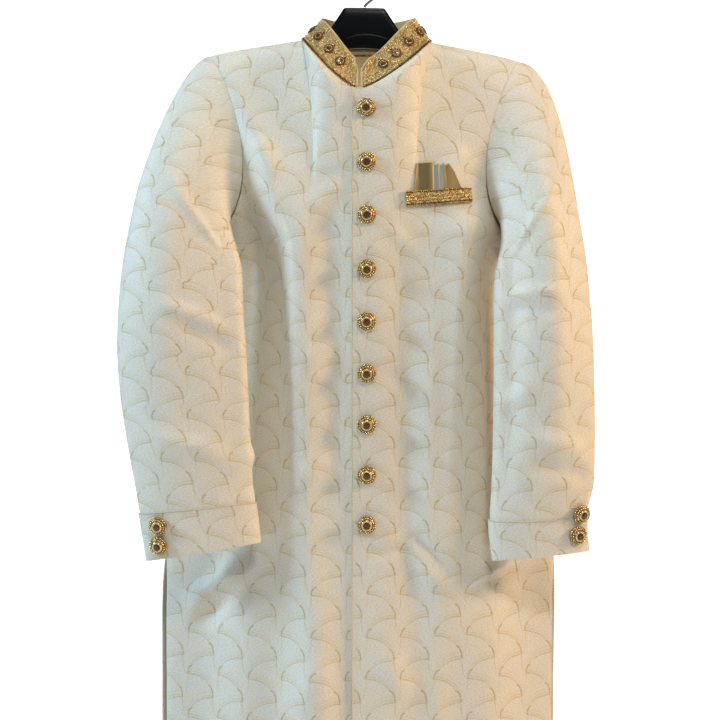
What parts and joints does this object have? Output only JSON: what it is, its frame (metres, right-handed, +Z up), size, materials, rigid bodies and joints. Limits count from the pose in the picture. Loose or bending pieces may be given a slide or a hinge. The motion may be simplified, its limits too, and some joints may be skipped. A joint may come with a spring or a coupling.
{
  "type": "sherwani coat on a moulded suit hanger",
  "caption": "Knee-length ivory jacquard sherwani coat with a gold beaded stand collar, jewelled front and cuff buttons and a pocket square, hanging closed on a black moulded hanger",
  "frame": {"origin": "top of the inside of the hanger's hook, where a rail carries it", "axes": "+Z up; the coat's front faces -Y; the wearer's left is at +X"},
  "size_m": [0.658, 0.176, 1.1786],
  "materials": {
    "brocade": "woven jacquard with a soft sheen",
    "embroidery": "gold thread and bead work",
    "satin": "satin",
    "button_gold": "beaded, with a cut amber stone",
    "hanger_plastic": "semi-gloss moulded",
    "hook_steel": "plated"
  },
  "bodies": {
    "root": {"front_left": "brocade", "front_right": "brocade", "back_left": "brocade", "back_right": "brocade", "top_sleeve_left": "brocade", "under_sleeve_left": "brocade", "top_sleeve_right": "brocade", "under_sleeve_right": "brocade", "cuff_left": "brocade", "cuff_right": "brocade", "collar": "embroidery", "pocket_welt": "embroidery", "pocket_square": "satin", "neck_facing": "satin", "neck_label": "satin", "button_1": "button_gold", "button_2": "button_gold", "button_3": "button_gold", "button_4": "button_gold", "button_5": "button_gold", "button_6": "button_gold", "button_7": "button_gold", "button_8": "button_gold", "button_9": "button_gold", "cuff_button_left_1": "button_gold", "cuff_button_left_2": "button_gold", "cuff_button_right_1": "button_gold", "cuff_button_right_2": "button_gold", "hanger_body": "hanger_plastic", "hanger_hook": "hook_steel"}
  },
  "joints": []
}
